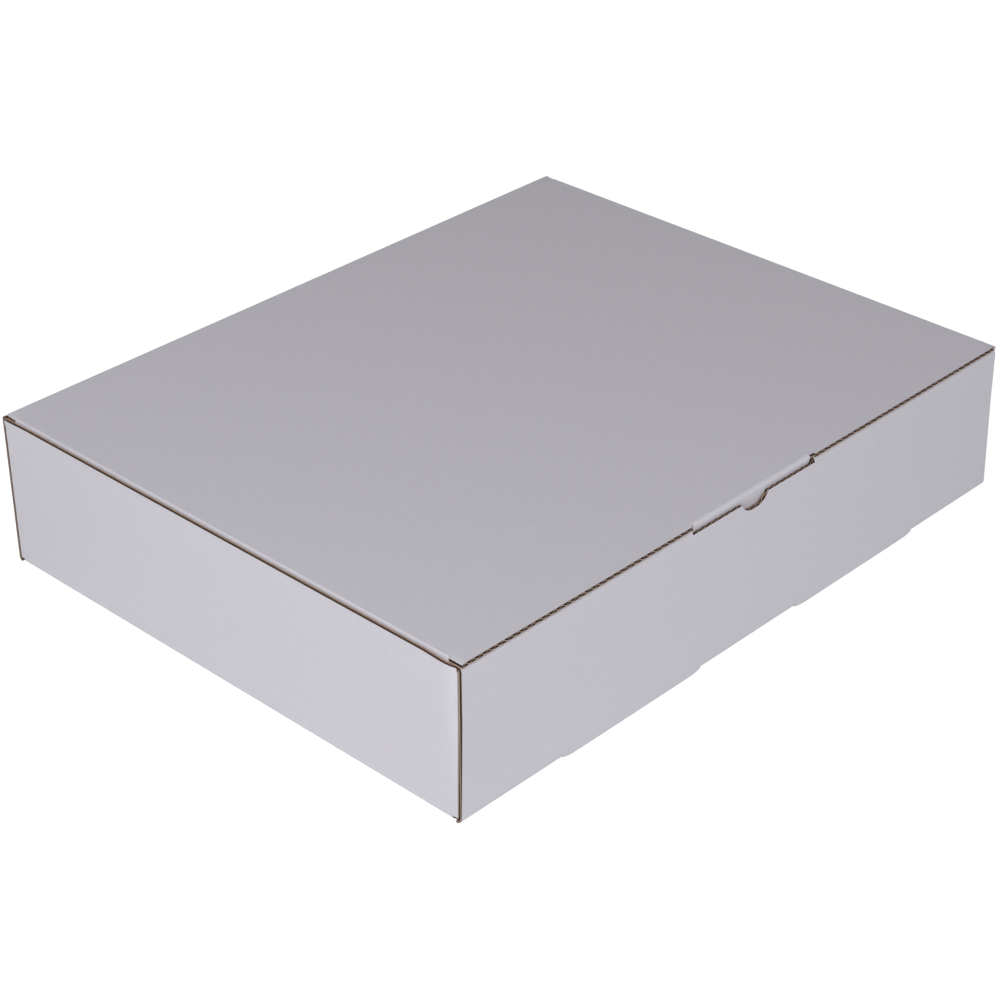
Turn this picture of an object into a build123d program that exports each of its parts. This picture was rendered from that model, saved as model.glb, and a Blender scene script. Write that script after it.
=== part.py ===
from build123d import *
import math
import os

# Tuck front mailing box, folded from one sheet of white-faced corrugated board.
# The front faces -Y, +X is to the right seen from the front, and the box stands on Z = 0.

# Driving dimensions, in millimetres and degrees
box_width = 300.0
box_depth = 240.0
box_height = 64.0
board = 1.6
fold_radius = 2.0
base_fold_radius = 2.6
crease_radius = 0.6
lid_rest_gap = 0.1
lid_split_gap = 0.1
side_gap = 0.2
layer_gap = 0.4
tuck_clearance = 0.6

# Rolled front wall
lock_centre = 63.8
lock_width = 71.6
lock_clearance = 0.7
lock_corner = 2.5
lock_foot = 0.2
slot_half_width = 34.2
inner_lip_drop = 1.3
notch_radius = 9.6
notch_depth = 3.8
notch_shoulder = 2.0
front_foot_inset = 0.3
front_top_inset = 1.4

# Corner flaps of the side walls
corner_flap_length = 58.0
corner_flap_taper = 4.0
corner_flap_corner = 5.0
corner_dip = 0.8
corner_dip_length = 3.0

# Lid
rear_strip = 8.0
rear_strip_inset = 1.6
side_flap_depth = 52.0
side_flap_setback = 0.5
side_flap_slant = 7.0
side_flap_corner = 6.0
tab_half_width = 32.8
tab_depth = 13.0
tab_taper = 1.5
tab_corner = 5.0
tab_gap = 0.45
tab_crest_setback = 0.7
tab_crest_radius = 1.0
tab_lean = 25.0
tab_bend_radius = 3.0
slit_depth = 0.9
front_corner_inset = 1.6

# Corrugated board: two liners and a fluted medium, with flutes running from front to rear
flute_pitch = 3.5
liner = 0.25
medium = 0.22
flute_crest = 0.9
flute_reach = 5.0
flute_edge_margin = 1.0

# Outside faces of the box
half_width = box_width / 2
front_face = -box_depth / 2
rear_face = box_depth / 2
half_board = board / 2
fold_mid = fold_radius - half_board
base_fold_mid = base_fold_radius - half_board

# Heights
lid_under = box_height - board
wall_top = lid_under - lid_rest_gap
roll_start = wall_top - fold_radius
layer_floor = board + layer_gap
corner_flap_top = wall_top - board - layer_gap

# The channel inside the double front wall holds the corner flaps and the tuck tab
channel = tuck_clearance + board + layer_gap
channel_front = front_face + board
inner_panel_face = channel_front + channel
front_wall_inside = inner_panel_face + board
corner_flap_face = channel_front + layer_gap
rear_flap_face = rear_face - board - layer_gap

# Lid hinge line, on the outer liner half way round the rear fold
hinge_y = rear_face - fold_radius + fold_radius * math.cos(math.radians(45))
split_angle = 45 + math.degrees(lid_split_gap / fold_radius)

# Stations across the width
floor_half = half_width - fold_radius
wall_inside = half_width - board
side_flap_face = wall_inside - side_gap
side_flap_back = side_flap_face - board
roll_half = wall_inside - side_gap
inner_panel_half = side_flap_back - side_gap
front_foot_half = half_width - front_foot_inset
front_top_half = half_width - front_top_inset
lid_front_half = half_width - front_corner_inset
rear_strip_half = half_width - rear_strip_inset

# Stations along the depth
side_fold_front = corner_flap_face + fold_radius
side_fold_rear = rear_flap_face - fold_radius
lid_fold_y = rear_face - fold_radius
side_flap_front = corner_flap_face + board + side_flap_setback
side_flap_rear = rear_face - rear_strip

# Section of the tuck tab: round the crest, leaning in under the lid, then bent back to hang upright
lean = math.radians(tab_lean)
crest_y = front_face + tab_crest_setback + tab_crest_radius
crest_z = box_height - tab_crest_radius
tab_face = channel_front + tab_gap
bend_y = tab_face - tab_bend_radius
lean_width = bend_y + tab_bend_radius * math.cos(lean) - crest_y + tab_crest_radius * math.cos(lean)
lean_height = lean_width / math.tan(lean)
bend_z = crest_z - (tab_crest_radius + tab_bend_radius) * math.sin(lean) - lean_height
lean_back_y = bend_y + (tab_bend_radius + board) * math.cos(lean)
lean_back_z = bend_z + (tab_bend_radius + board) * math.sin(lean)
tab_root_y = lean_back_y - (lid_under - lean_back_z) * math.tan(lean)

# Section of one flute opening between the medium and a liner
opening_depth = board - 2 * liner - medium
opening_mouth = (flute_pitch - flute_crest) / 2
opening_root = (flute_crest - medium) / 2

# Vertices this near to a height are taken to lie on it
level_margin = 0.01

# Half width of the thumb notch where its rounded shoulders meet the recess
notch_rise = notch_radius - notch_depth + notch_shoulder
notch_mouth = math.sqrt((notch_radius + notch_shoulder) ** 2 - notch_rise**2)


def flute_openings(start, end):
    """Open ends of the flutes on a raw edge, from start to end along local X, centred on the board."""
    first = math.ceil((start + flute_edge_margin + opening_mouth) / flute_pitch * 2)
    last = math.floor((end - flute_edge_margin - opening_mouth) / flute_pitch * 2)
    for step in range(first, last + 1):
        centre = step * flute_pitch / 2
        facing = 1 if step % 2 else -1
        liner_side = facing * (half_board - liner)
        crest_side = liner_side - facing * opening_depth
        Polygon(
            (centre - opening_mouth, liner_side),
            (centre + opening_mouth, liner_side),
            (centre + opening_root, crest_side),
            (centre - opening_root, crest_side),
            align=None,
        )


with BuildPart() as tray:
    # Bottom panel
    with BuildSketch(Plane.XY):
        with Locations((0, (rear_face - fold_radius + front_face + base_fold_radius) / 2)):
            Rectangle(2 * floor_half, box_depth - fold_radius - base_fold_radius)
    extrude(amount=board)

    # Fold along the front of the bottom
    with BuildSketch(Plane.YZ):
        with BuildLine():
            CenterArc((front_face + base_fold_radius, base_fold_radius), base_fold_mid, 180, 90)
        trace(line_width=board)
    extrude(amount=front_foot_half, both=True)

    # Outer front panel, drawing in a little towards its top
    with BuildSketch(Plane.XZ.offset(-channel_front)):
        Polygon(
            (-front_foot_half, base_fold_radius),
            (front_foot_half, base_fold_radius),
            (front_top_half, roll_start),
            (-front_top_half, roll_start),
            align=None,
        )
    extrude(amount=board)

    # Rear wall: fold along the bottom, wall, and the lower half of the lid's fold
    with BuildSketch(Plane.YZ):
        with BuildLine():
            CenterArc((rear_face - fold_radius, fold_radius), fold_mid, 270, 90)
            Line((rear_face - half_board, fold_radius), (rear_face - half_board, box_height - fold_radius))
            CenterArc((rear_face - fold_radius, box_height - fold_radius), fold_mid, 0, 45)
        trace(line_width=board)
    extrude(amount=half_width, both=True)

    # Folds along the sides of the bottom
    with BuildSketch(Plane.XZ.offset(-side_fold_rear)):
        with BuildLine():
            CenterArc((half_width - fold_radius, fold_radius), fold_mid, 270, 90)
        trace(line_width=board)
        mirror(about=Plane.YZ)
    extrude(amount=side_fold_rear - side_fold_front)

    # Side walls, creased sharp at each end where the corner flaps turn in
    with BuildSketch(Plane.XY.offset(fold_radius)):
        with Locations((half_width - half_board, (corner_flap_face + rear_flap_face) / 2)):
            Rectangle(board, rear_flap_face - corner_flap_face)
        fillet(vertices().group_by(Axis.X)[-1], crease_radius)
        mirror(about=Plane.YZ)
    extrude(amount=wall_top - fold_radius)

    # Top edges of the side walls, dipping at each end
    with BuildSketch(Plane.YZ):
        for wall_end, inward in ((corner_flap_face, 1), (rear_flap_face, -1)):
            Polygon(
                (wall_end, wall_top),
                (wall_end, wall_top - corner_dip),
                (wall_end + inward * corner_dip_length, wall_top),
                align=None,
            )
    extrude(amount=half_width, both=True, mode=Mode.SUBTRACT)

    # Corner flaps, front ones inside the double front wall and rear ones inside the rear wall
    flap_end = wall_inside - corner_flap_length
    for flap_start in (corner_flap_face + board, rear_flap_face):
        with BuildSketch(Plane.XZ.offset(-flap_start)):
            flap_outline = Polygon(
                (wall_inside, layer_floor),
                (wall_inside, corner_flap_top),
                (flap_end, corner_flap_top - corner_flap_taper),
                (flap_end, layer_floor + corner_flap_taper),
                align=None,
            )
            fillet(flap_outline.vertices().group_by(Axis.X)[0], corner_flap_corner)
            mirror(about=Plane.YZ)
        extrude(amount=board)

    # Slots for the lock tabs along the front fold, where the outer panel stays straight
    with BuildSketch(Plane.XY):
        with Locations((-lock_centre, 0), (lock_centre, 0)):
            with Locations((0, (front_face + front_wall_inside + layer_gap) / 2)):
                Rectangle(lock_width + 2 * lock_clearance, front_wall_inside + layer_gap - front_face)
    extrude(amount=base_fold_radius, mode=Mode.SUBTRACT)
    with BuildSketch(Plane.XY):
        with Locations((-lock_centre, front_face + half_board), (lock_centre, front_face + half_board)):
            Rectangle(lock_width + 2 * lock_clearance, board)
    extrude(amount=base_fold_radius)

    # Rolled top of the front wall, as wide as the side walls leave room for
    with BuildSketch(Plane.YZ):
        with BuildLine():
            Line(
                (front_wall_inside - fold_radius, wall_top - half_board),
                (front_face + fold_radius, wall_top - half_board),
            )
            CenterArc((front_face + fold_radius, roll_start), fold_mid, 90, 90)
        trace(line_width=board)
    extrude(amount=roll_half, both=True)

    # Inner front panel, narrower than the roll so that the lid's side flaps pass its ends
    with BuildSketch(Plane.YZ):
        with BuildLine():
            Line((front_wall_inside - half_board, layer_floor), (front_wall_inside - half_board, roll_start))
            CenterArc((front_wall_inside - fold_radius, roll_start), fold_mid, 0, 90)
        trace(line_width=board)
    extrude(amount=inner_panel_half, both=True)

    # Lock tabs on the inner panel, standing in the slots
    with BuildSketch(Plane.XZ.offset(-front_wall_inside)):
        with Locations((lock_centre, lock_foot)):
            lock_height = layer_floor + fold_radius - lock_foot
            lock_tab = Rectangle(lock_width, lock_height, align=(Align.CENTER, Align.MIN))
            chamfer(lock_tab.vertices().group_by(Axis.Y)[0], lock_corner / 2)
        mirror(about=Plane.YZ)
    extrude(amount=board)

    # Tuck slot through the rolled top, open at the front down to the start of the roll
    with BuildSketch(Plane.XY.offset(roll_start)):
        with Locations((0, (front_face + inner_panel_face) / 2)):
            Rectangle(2 * slot_half_width, inner_panel_face - front_face)
    extrude(amount=fold_radius, mode=Mode.SUBTRACT)
    with BuildSketch(Plane.XY.offset(wall_top - inner_lip_drop)):
        with Locations((0, (inner_panel_face + front_wall_inside) / 2)):
            Rectangle(2 * slot_half_width, board)
    extrude(amount=inner_lip_drop, mode=Mode.SUBTRACT)

    # Thumb notch in the raw edge of the outer panel, with rounded shoulders
    with BuildSketch(Plane.XZ.offset(-channel_front)):
        with Locations((0, roll_start)):
            Rectangle(2 * slot_half_width, fold_radius, align=(Align.CENTER, Align.MIN))
        with Locations((0, roll_start - notch_depth + notch_radius)):
            Circle(notch_radius)
        level = (roll_start - level_margin, roll_start + level_margin)
        edge_vertices = vertices().filter_by_position(Axis.Y, *level)
        fillet(edge_vertices.sort_by(Axis.X)[1:3], notch_shoulder)
    extrude(amount=board, mode=Mode.SUBTRACT)

    # Flute openings along the raw edge of the recess, and deeper ones down through the notch
    recess_edge = Plane((0, front_face + half_board, roll_start), x_dir=(1, 0, 0), z_dir=(0, 0, -1))
    with BuildSketch(recess_edge):
        flute_openings(-slot_half_width, -notch_mouth)
        flute_openings(notch_mouth, slot_half_width)
    extrude(amount=flute_reach, mode=Mode.SUBTRACT)
    with BuildSketch(recess_edge):
        flute_openings(-notch_mouth, notch_mouth)
    extrude(amount=notch_depth + flute_reach, mode=Mode.SUBTRACT)

    # Flute openings in the free ends of the corner flaps
    for flap_middle in (corner_flap_face + half_board, rear_flap_face - half_board):
        for side in (-1, 1):
            flap_edge = Plane((side * flap_end, flap_middle, 0), x_dir=(0, 0, 1), z_dir=(side, 0, 0))
            with BuildSketch(flap_edge):
                flute_openings(
                    layer_floor + corner_flap_taper + corner_flap_corner,
                    corner_flap_top - corner_flap_taper - corner_flap_corner,
                )
            extrude(amount=flute_reach, mode=Mode.SUBTRACT)


with BuildPart() as lid:
    # Top panel: strips at the front and rear, panel between the side creases, gap for the tuck tab
    with BuildSketch(Plane.XY.offset(lid_under)):
        with Locations((0, (side_flap_rear + lid_fold_y) / 2)):
            Rectangle(2 * rear_strip_half, lid_fold_y - side_flap_rear)
        with Locations((0, (side_flap_rear + side_flap_front) / 2)):
            Rectangle(2 * side_flap_back, side_flap_rear - side_flap_front)
        with Locations((0, (front_face + side_flap_front) / 2)):
            Rectangle(2 * lid_front_half, side_flap_front - front_face)
        with Locations((0, front_face + slit_depth / 2)):
            Rectangle(2 * slot_half_width, slit_depth, mode=Mode.SUBTRACT)
        with Locations((0, (front_face + tab_root_y) / 2)):
            Rectangle(2 * tab_half_width, tab_root_y - front_face, mode=Mode.SUBTRACT)
    extrude(amount=board)

    # Upper half of the fold into the rear wall, drawing in at its ends to the rear strip
    with BuildSketch(Plane.YZ):
        with BuildLine():
            CenterArc((lid_fold_y, box_height - fold_radius), fold_mid, split_angle, 90 - split_angle)
        trace(line_width=board)
    extrude(amount=half_width, both=True)
    with BuildSketch(Plane.XY.offset(box_height - fold_radius)):
        Polygon((rear_strip_half, lid_fold_y), (half_width, lid_fold_y), (half_width, hinge_y), align=None)
        mirror(about=Plane.YZ)
    extrude(amount=fold_radius, mode=Mode.SUBTRACT)

    # Side creases
    with BuildSketch(Plane.XZ.offset(-side_flap_rear)):
        with Locations((side_flap_face - half_board, lid_under + half_board)):
            Rectangle(board, board)
        fillet(vertices().group_by(Axis.X)[-1].sort_by(Axis.Y)[-1], crease_radius)
        mirror(about=Plane.YZ)
    extrude(amount=side_flap_rear - side_flap_front)

    # Side flaps, hanging just inside the side walls
    with BuildSketch(Plane.YZ.offset(side_flap_back)):
        flap_foot_z = box_height - side_flap_depth
        side_outline = Polygon(
            (side_flap_front, lid_under),
            (side_flap_rear, lid_under),
            (side_flap_rear - side_flap_slant, flap_foot_z),
            (side_flap_front + side_flap_slant, flap_foot_z),
            align=None,
        )
        fillet(side_outline.vertices().group_by(Axis.Y)[0], side_flap_corner)
    extrude(amount=board)
    mirror(about=Plane.YZ)

    # Crest of the tuck tab and the bend that turns it into the channel
    with BuildSketch(Plane.YZ):
        with BuildLine():
            crest = CenterArc((crest_y, crest_z), tab_crest_radius, 90, 90 + tab_lean)
            outer_bend = CenterArc((bend_y, bend_z), tab_bend_radius, tab_lean, -tab_lean)
            inner_bend = CenterArc((bend_y, bend_z), tab_bend_radius + board, tab_lean, -tab_lean)
            Line(crest @ 1, outer_bend @ 0)
            Line(outer_bend @ 1, inner_bend @ 1)
            Polyline(inner_bend @ 0, (tab_root_y, lid_under), (tab_root_y, box_height), crest @ 0)
        make_face()
    extrude(amount=tab_half_width, both=True)

    # Tuck tab, hanging in the channel behind the outer front panel
    with BuildSketch(Plane.XZ.offset(-(tab_face + board))):
        tab_foot_z = box_height - tab_depth
        tab_outline = Polygon(
            (-tab_half_width, bend_z),
            (tab_half_width, bend_z),
            (tab_half_width - tab_taper, tab_foot_z),
            (-tab_half_width + tab_taper, tab_foot_z),
            align=None,
        )
        fillet(tab_outline.vertices().group_by(Axis.Y)[0], tab_corner)
    extrude(amount=board)

    # Flute openings along the raw front edge, either side of the tab
    with BuildSketch(Plane((0, front_face, lid_under + half_board), x_dir=(1, 0, 0), z_dir=(0, 1, 0))):
        flute_openings(-lid_front_half, -slot_half_width)
        flute_openings(slot_half_width, lid_front_half)
    extrude(amount=flute_reach, mode=Mode.SUBTRACT)

    # Flute openings in the raw ends of the side flaps
    for end_y, inward in ((side_flap_front, 1), (side_flap_rear, -1)):
        for side in (-1, 1):
            flap_middle = side * (side_flap_face - half_board)
            with BuildSketch(Plane((flap_middle, end_y, 0), x_dir=(0, 0, 1), z_dir=(0, inward, 0))):
                flute_openings(flap_foot_z + side_flap_corner, lid_under)
            extrude(amount=side_flap_slant + flute_reach, mode=Mode.SUBTRACT)

    # Flute openings along the foot of the tuck tab
    with BuildSketch(Plane((0, tab_face + half_board, tab_foot_z), x_dir=(1, 0, 0), z_dir=(0, 0, 1))):
        flute_openings(tab_taper + tab_corner - tab_half_width, tab_half_width - tab_taper - tab_corner)
    extrude(amount=flute_reach, mode=Mode.SUBTRACT)


tray.part.label = "tray"
lid.part.label = "lid"

os.makedirs("parts", exist_ok=True)
export_step(tray.part, "parts/tray.step")
export_step(lid.part, "parts/lid.step")
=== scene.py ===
import math
import bpy
import numpy as np
from mathutils import Matrix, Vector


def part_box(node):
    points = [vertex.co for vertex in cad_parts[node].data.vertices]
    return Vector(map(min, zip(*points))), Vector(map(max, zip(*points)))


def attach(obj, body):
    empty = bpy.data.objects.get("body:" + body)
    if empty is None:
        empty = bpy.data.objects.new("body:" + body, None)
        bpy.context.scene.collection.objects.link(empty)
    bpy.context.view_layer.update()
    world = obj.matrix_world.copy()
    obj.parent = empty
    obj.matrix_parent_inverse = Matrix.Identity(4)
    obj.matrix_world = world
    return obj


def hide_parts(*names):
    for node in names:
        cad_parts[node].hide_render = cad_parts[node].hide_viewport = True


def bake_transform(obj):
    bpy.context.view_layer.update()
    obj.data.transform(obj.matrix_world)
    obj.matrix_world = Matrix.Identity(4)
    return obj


# Tuck front mailing box in white-faced E-flute board, folded from one sheet. Shapes are worked out
# in millimetres and turned to metres as each mesh is made. The front faces -Y and it stands on Z = 0.

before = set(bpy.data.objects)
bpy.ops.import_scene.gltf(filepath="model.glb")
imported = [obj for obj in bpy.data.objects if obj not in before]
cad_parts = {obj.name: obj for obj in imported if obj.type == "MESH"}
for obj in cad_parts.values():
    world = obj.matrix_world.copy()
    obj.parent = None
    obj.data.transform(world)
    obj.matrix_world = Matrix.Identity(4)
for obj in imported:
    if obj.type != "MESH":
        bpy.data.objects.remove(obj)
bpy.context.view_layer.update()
print("stage: frame loaded")

board = {
    "thickness": 1.6,
    "liner": 0.25,
    "medium": 0.3,          # with the fibres that stand up along a cut
    "flutePitch": 3.5,
    "fluteAt": -148.4,      # here a crest of the medium is glued to the inner liner
    "crestOverlap": 0.01,   # the crests sink this far into a liner's glue line
    "tightRadius": 0.06,    # inside of a crease, where the board is crushed
    "gather": 2.5,          # beside a crease the inner side gathers up over this length
}
(trayLow, trayHigh), (lidLow, lidHigh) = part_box("tray"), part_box("lid")
carton = {
    "halfWidth": round(trayHigh[0] * 1000, 2),
    "front": round(trayLow[1] * 1000, 2),
    "rear": round(trayHigh[1] * 1000, 2),
    "height": round(lidHigh[2] * 1000, 2),
    "foldRadius": 2.0,
    "baseFoldRadius": 2.6,
    "creaseRadius": 0.6,
    "wallTop": 62.6,
    "edgeZone": 146.4,      # columns outside this are drawn in where a panel narrows
    "fluteColumns": 8,      # columns across one flute
    "arcSteps": 8,          # rows round a fold of a liner
    "flutingArcSteps": 4,
    "linerColumnStep": 12.0,
    "linerRowStep": 16.0,
    "flutingRowStep": 60.0,
    "bendStep": 0.8,        # rows where board bends gently
    "margin": 0.4,          # narrow row beside a fold, so that flat board shades flat
    "cellsPerMillimetre": 1000,   # points that fall in the same cell become one
    "cellShift": 0.137,     # of a cell, so that round measures don't fall on the border of two
    "sharpAngle": 35,
}
quarter = math.pi / 2
tiny = 1e-6                 # lengths this close are the same
halfWidth, frontFace, rearFace = carton["halfWidth"], carton["front"], carton["rear"]
foldRadius, creaseRadius, margin = carton["foldRadius"], carton["creaseRadius"], carton["margin"]
foldLength = quarter * foldRadius
creaseLength = quarter * creaseRadius
gatherLength = board["gather"]


# A path is the outer face of a folded strip seen end on: straight runs (length, None) and turns
# (arc length, radius). With hand 1 the outer face is on the left of the way along and a turn goes
# right, with -1 the other way round, and a negative radius bends the strip back.
def foldedPath(start, heading, begins, runs, hand=1):
    return {"start": start, "heading": math.radians(heading), "begins": begins, "runs": runs, "hand": hand}


# How far the inner side is pushed along a straight run by a tight turn at its end: the board's depth
# less the radius, times the tangent of half the turn, fading to nothing over the gather length.
def gathered(turn, depth, away, length):
    if turn is None or turn[1] is None or turn[1] < 0:
        return 0.0
    push = np.maximum(depth + board["tightRadius"] - turn[1], 0) * math.tan(turn[0] / turn[1] / 2)
    return push * np.clip(1 - away / min(gatherLength, length), 0, 1)


# Point at each length s and depth below the outer face: on a straight run the start plus s times the
# heading, and on a turn a centre plus a radius times a normal that swings by s over the radius. Where
# the board is thicker than the radius, the inside of the turn closes up on its mitre line.
def alongPath(path, s, depth):
    point = np.array(path["start"], float)
    heading, at, hand, runs = path["heading"], path["begins"], path["hand"], path["runs"]
    places = np.zeros(s.shape + (2,))
    depth = np.broadcast_to(depth, s.shape)
    for index, (length, radius) in enumerate(runs):
        first, last = index == 0, index == len(runs) - 1
        here = ((s >= at - tiny) | first) & ((s < at + length + tiny) | last)
        way = np.array([math.cos(heading), math.sin(heading)])
        out = hand * np.array([-way[1], way[0]])
        t, d = s[here] - at, depth[here]
        if radius is None:
            before, after = (None if first else runs[index - 1]), (None if last else runs[index + 1])
            t = t + gathered(before, d, t, length) - gathered(after, d, length - t, length)
            places[here] = point + t[:, None] * way - d[:, None] * out
            point = point + length * way
        else:
            centre = point - out * radius
            swing = -hand * np.append(t, length / 2) / radius
            turned = np.stack([
                out[0] * np.cos(swing) - out[1] * np.sin(swing),
                out[0] * np.sin(swing) + out[1] * np.cos(swing),
            ], 1)
            left = radius - d
            kept = np.maximum(left, board["tightRadius"]) if radius > 0 else left
            shift = (left - kept) / math.cos(length / radius / 2)
            places[here] = centre + kept[:, None] * turned[:-1] + shift[:, None] * turned[-1]
            heading -= hand * length / radius
            way = np.array([math.cos(heading), math.sin(heading)])
            point = centre + radius * hand * np.array([-way[1], way[0]])
        at += length
    return places


# Numbers from mark to mark, each stretch divided evenly into steps no longer than step.
def stations(marks, step):
    marks = sorted(set(marks))
    rows = [np.array(marks[:1], float)]
    for a, b in zip(marks[:-1], marks[1:]):
        count = max(1, int(math.ceil((b - a) / step - tiny)))
        rows.append(np.linspace(a, b, count + 1)[1:])
    return np.concatenate(rows)


# One sorted list of rows out of several that share their ends.
def joined(*rows):
    return np.unique(np.round(np.concatenate(rows), 6))


# Columns outside the edge zone's start are drawn in, in proportion, so that the last lies at half.
def drawnIn(xs, half):
    away, zone = np.abs(xs)[:, None], carton["edgeZone"]
    drawn = zone + (away - zone) * (half[None, :] - zone) / (halfWidth - zone)
    return np.sign(xs)[:, None] * np.where(away > zone, drawn, away)


# A patch is a grid of columns and rows with its outer and inner faces and its place on the flat
# blank; keep says which cells are board and which are cut away.
def patch(outer, inner, flatU, flatV, keep=None, mirror=(1, 1)):
    flip = np.array([mirror[0], mirror[1], 1.0])
    columns, rows = flatU.shape
    if keep is None:
        keep = np.ones((columns - 1, rows - 1), bool)
    index = np.arange(columns * rows).reshape(columns, rows)
    return {
        "outer": (outer * flip).reshape(-1, 3),
        "inner": (inner * flip).reshape(-1, 3),
        "flat": np.stack([flatU * mirror[0], flatV], -1).reshape(-1, 2),
        "cells": np.stack([index[:-1, :-1], index[1:, :-1], index[1:, 1:], index[:-1, 1:]], -1)[keep],
    }


# Strip folded about lines that run along X: X is the column, Y and Z follow the path.
def lengthwisePatch(path, xs, s, depths, keep=None):
    x, s = np.broadcast_arrays(xs if xs.ndim == 2 else xs[:, None], s if s.ndim == 2 else s[None, :])
    sides = []
    for depth in depths:
        place = alongPath(path, s, depth(x))
        sides.append(np.stack([x, place[..., 0], place[..., 1]], -1))
    return patch(*sides, x, s, keep)


# Strip folded about lines that run along Y: X and Z follow the path, Y is the row.
def crosswisePatch(path, u, y, depths, side, vSign=1, keep=None):
    u, y = np.broadcast_arrays(u if u.ndim == 2 else u[:, None], y if y.ndim == 2 else y[None, :])
    sides = []
    for depth in depths:
        place = alongPath(path, u, depth(side * u))
        sides.append(np.stack([place[..., 0], y, place[..., 1]], -1))
    return patch(*sides, u, vSign * y, keep, (side, 1))


# Strip folded about an upright line: Z is the column's own height, X and Y follow the path.
def uprightPatch(path, u, z, s, depths, mirror):
    u, z, s = np.broadcast_arrays(u[:, None], z[:, None], s)
    sides = []
    for depth in depths:
        place = alongPath(path, s, depth(mirror[0] * u))
        sides.append(np.stack([place[..., 0], place[..., 1], z], -1))
    return patch(*sides, u, -mirror[1] * s, None, mirror)


# Joins patches into one closed sheet. Points that meet become one, the outer side faces out, the
# inner side faces in, and every free edge gets a rim of quads.
def sheetMesh(name, patches, materials):
    outer = np.concatenate([p["outer"] for p in patches])
    inner = np.concatenate([p["inner"] for p in patches])
    flat = np.concatenate([p["flat"] for p in patches])
    starts = np.cumsum([0] + [len(p["outer"]) for p in patches[:-1]])
    cells = np.concatenate([p["cells"] + start for p, start in zip(patches, starts)])
    turn = np.cross(outer[cells[:, 2]] - outer[cells[:, 0]], outer[cells[:, 3]] - outer[cells[:, 1]])
    wrong = (turn * (outer - inner)[cells].mean(1)).sum(1) < 0
    cells[wrong] = cells[wrong][:, ::-1]

    both = np.hstack([outer, inner])
    keys = np.floor(both * carton["cellsPerMillimetre"] + carton["cellShift"]).astype(np.int64)
    _, first, same = np.unique(keys, axis=0, return_index=True, return_inverse=True)
    cells = same.reshape(-1)[cells]
    used, cells = np.unique(cells, return_inverse=True)
    cells = cells.reshape(-1, 4)
    first = first[used]
    outer, inner, flat = outer[first], inner[first], flat[first]
    count = len(outer)

    doubled = np.stack([cells[:, k] == cells[:, (k + 1) % 4] for k in range(4)], 1)
    quads = cells[doubled.sum(1) == 0]
    pinched = cells[doubled.sum(1) == 1]
    spot = doubled[doubled.sum(1) == 1].argmax(1)
    rows = np.arange(len(pinched))
    triangles = np.stack([pinched[rows, (spot + k) % 4] for k in (1, 2, 3)], 1)

    ways = np.concatenate(
        [quads[:, [k, (k + 1) % 4]] for k in range(4)] + [triangles[:, [k, (k + 1) % 3]] for k in range(3)]
    )
    low, high = ways.min(1), ways.max(1)
    _, back, times = np.unique(low * count + high, return_inverse=True, return_counts=True)
    free = ways[times[back.reshape(-1)] == 1]
    rim = np.stack([free[:, 1], free[:, 0], free[:, 0] + count, free[:, 1] + count], 1)

    fours = np.concatenate([quads, quads[:, ::-1] + count, rim])
    threes = np.concatenate([triangles, triangles[:, ::-1] + count])
    corners = np.concatenate([fours.reshape(-1), threes.reshape(-1)])
    sizes = np.concatenate([np.full(len(fours), 4), np.full(len(threes), 3)])
    slotParts = ((0, len(quads)), (1, len(quads)), (2, len(rim)), (0, len(triangles)), (1, len(triangles)))
    slots = np.concatenate([np.full(faces, slot, np.int32) for slot, faces in slotParts])

    mesh = bpy.data.meshes.new(name)
    mesh.vertices.add(2 * count)
    mesh.loops.add(len(corners))
    mesh.polygons.add(len(sizes))
    mesh.vertices.foreach_set("co", (np.concatenate([outer, inner]) * 0.001).astype(np.float32).ravel())
    mesh.loops.foreach_set("vertex_index", corners.astype(np.int32))
    mesh.polygons.foreach_set("loop_start", np.concatenate([[0], np.cumsum(sizes)[:-1]]).astype(np.int32))
    mesh.polygons.foreach_set("material_index", slots)
    mesh.update(calc_edges=True)
    blank = mesh.uv_layers.new(name="blank")   # the place on the flat blank, in metres
    blank.data.foreach_set("uv", (flat[corners % count] * 0.001).astype(np.float32).ravel())
    for material in materials:
        mesh.materials.append(material)
    mesh.shade_smooth()
    mesh.set_sharp_from_angle(angle=math.radians(carton["sharpAngle"]))
    mesh.validate()
    piece = bpy.data.objects.new(name, mesh)
    bpy.context.scene.collection.objects.link(piece)
    return piece


# How far a tapered flap with rounded free corners reaches at each offset from its centre line:
# its full length, less a circle's arc at the corner, less a straight taper outside that.
def flapReach(offset, rootHalf, footHalf, length, radius):
    away = np.abs(offset)
    run = math.hypot(rootHalf - footHalf, length)
    sideX, sideY = (rootHalf - footHalf) / run, length / run
    opening = math.acos(-sideX)
    tangent = radius / math.tan(opening / 2)
    centreX = footHalf - tangent
    sideStart = footHalf + sideX * tangent
    arc = length - radius + np.sqrt(np.clip(radius ** 2 - (away - centreX) ** 2, 0, None))
    taper = length * (rootHalf - away) / max(rootHalf - footHalf, tiny)
    reach = np.where(away <= centreX, length, np.where(away <= sideStart, arc, taper))
    return np.clip(reach, 0, length)


# How far a flap's slanted end has moved in at each depth from its fold: depth times the slope,
# with the corner at the foot rounded by a circle's arc.
def slantedEnd(depth, length, slant, radius):
    run = math.hypot(slant, length)
    downY, downD = slant / run, length / run
    opening = math.acos(-downY)
    tangent = radius / math.tan(opening / 2)
    centreD = length - radius
    centreY = slant + tangent
    arcFrom = length - downD * tangent
    arc = centreY - np.sqrt(np.clip(radius ** 2 - (depth - centreD) ** 2, 0, None))
    return np.where(depth < arcFrom, depth * slant / length, arc)


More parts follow.
